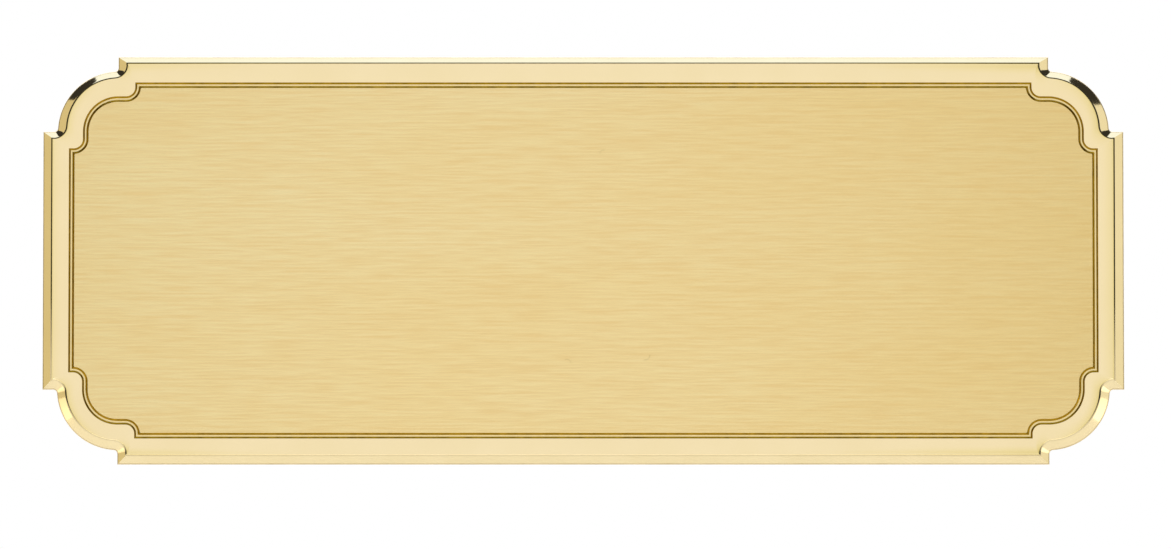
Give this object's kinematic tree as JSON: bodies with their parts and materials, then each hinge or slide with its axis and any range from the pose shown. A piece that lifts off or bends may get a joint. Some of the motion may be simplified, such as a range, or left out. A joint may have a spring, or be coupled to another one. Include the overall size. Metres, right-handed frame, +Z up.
{
  "type": "kick plate",
  "caption": "Ornamental solid brass kick plate with notched corners, polished bevel and border, engraved groove, brushed face, and rear threaded studs with washers, nuts and foam tape.",
  "frame": {"origin": "centre of the plate's flat back, the face that lies on the door", "axes": "+X along the width, to the right as seen from the front; +Z up; +Y out of the back, towards the door"},
  "size_m": [0.807, 0.035, 0.305],
  "materials": {
    "face_brass": "satin brushed field, polished border",
    "fixing_brass": "machined",
    "foam": "matte closed-cell foam",
    "liner_film": "smooth film"
  },
  "bodies": {
    "plate": {"face_plate": "face_brass", "stud_top_left": "fixing_brass", "stud_top_middle": "fixing_brass", "stud_top_right": "fixing_brass", "stud_bottom_left": "fixing_brass", "stud_bottom_middle": "fixing_brass", "stud_bottom_right": "fixing_brass", "foam_tape_upper_left": "foam", "foam_tape_upper_right": "foam", "foam_tape_centre_left": "foam", "foam_tape_centre_right": "foam", "foam_tape_lower_left": "foam", "foam_tape_lower_right": "foam", "foam_tape_left_end": "foam", "foam_tape_right_end": "foam", "release_liner_upper_left": "liner_film", "release_liner_upper_right": "liner_film", "release_liner_centre_left": "liner_film", "release_liner_centre_right": "liner_film", "release_liner_lower_left": "liner_film", "release_liner_lower_right": "liner_film", "release_liner_left_end": "liner_film", "release_liner_right_end": "liner_film"},
    "washer_top_left": {"washer_top_left": "fixing_brass"},
    "nut_top_left": {"nut_top_left": "fixing_brass"},
    "washer_top_middle": {"washer_top_middle": "fixing_brass"},
    "nut_top_middle": {"nut_top_middle": "fixing_brass"},
    "washer_top_right": {"washer_top_right": "fixing_brass"},
    "nut_top_right": {"nut_top_right": "fixing_brass"},
    "washer_bottom_left": {"washer_bottom_left": "fixing_brass"},
    "nut_bottom_left": {"nut_bottom_left": "fixing_brass"},
    "washer_bottom_middle": {"washer_bottom_middle": "fixing_brass"},
    "nut_bottom_middle": {"nut_bottom_middle": "fixing_brass"},
    "washer_bottom_right": {"washer_bottom_right": "fixing_brass"},
    "nut_bottom_right": {"nut_bottom_right": "fixing_brass"}
  },
  "joints": [
    {"name": "washer_top_left_travel", "type": "slide", "parent": "plate", "child": "washer_top_left", "axis": [0, 1, 0], "range_m": [-0.0004, 0.011]},
    {"name": "nut_top_left_turn", "type": "hinge", "parent": "washer_top_left", "child": "nut_top_left", "pos_m": [-0.33, 0.01325, 0.105], "axis": [0, 1, 0], "range_deg": [-185, 4955]},
    {"name": "washer_top_middle_travel", "type": "slide", "parent": "plate", "child": "washer_top_middle", "axis": [0, 1, 0], "range_m": [-0.0004, 0.011]},
    {"name": "nut_top_middle_turn", "type": "hinge", "parent": "washer_top_middle", "child": "nut_top_middle", "pos_m": [0, 0.01325, 0.105], "axis": [0, 1, 0], "range_deg": [-185, 4955]},
    {"name": "washer_top_right_travel", "type": "slide", "parent": "plate", "child": "washer_top_right", "axis": [0, 1, 0], "range_m": [-0.0004, 0.011]},
    {"name": "nut_top_right_turn", "type": "hinge", "parent": "washer_top_right", "child": "nut_top_right", "pos_m": [0.33, 0.01325, 0.105], "axis": [0, 1, 0], "range_deg": [-185, 4955]},
    {"name": "washer_bottom_left_travel", "type": "slide", "parent": "plate", "child": "washer_bottom_left", "axis": [0, 1, 0], "range_m": [-0.0004, 0.011]},
    {"name": "nut_bottom_left_turn", "type": "hinge", "parent": "washer_bottom_left", "child": "nut_bottom_left", "pos_m": [-0.33, 0.01325, -0.105], "axis": [0, 1, 0], "range_deg": [-185, 4955]},
    {"name": "washer_bottom_middle_travel", "type": "slide", "parent": "plate", "child": "washer_bottom_middle", "axis": [0, 1, 0], "range_m": [-0.0004, 0.011]},
    {"name": "nut_bottom_middle_turn", "type": "hinge", "parent": "washer_bottom_middle", "child": "nut_bottom_middle", "pos_m": [0, 0.01325, -0.105], "axis": [0, 1, 0], "range_deg": [-185, 4955]},
    {"name": "washer_bottom_right_travel", "type": "slide", "parent": "plate", "child": "washer_bottom_right", "axis": [0, 1, 0], "range_m": [-0.0004, 0.011]},
    {"name": "nut_bottom_right_turn", "type": "hinge", "parent": "washer_bottom_right", "child": "nut_bottom_right", "pos_m": [0.33, 0.01325, -0.105], "axis": [0, 1, 0], "range_deg": [-185, 4955]}
  ],
  "couplings": [
    {"joint": "nut_top_left_turn", "follows": "washer_top_left_travel", "rad_per_m": 7854},
    {"joint": "nut_top_middle_turn", "follows": "washer_top_middle_travel", "rad_per_m": 7854},
    {"joint": "nut_top_right_turn", "follows": "washer_top_right_travel", "rad_per_m": 7854},
    {"joint": "nut_bottom_left_turn", "follows": "washer_bottom_left_travel", "rad_per_m": 7854},
    {"joint": "nut_bottom_middle_turn", "follows": "washer_bottom_middle_travel", "rad_per_m": 7854},
    {"joint": "nut_bottom_right_turn", "follows": "washer_bottom_right_travel", "rad_per_m": 7854}
  ]
}
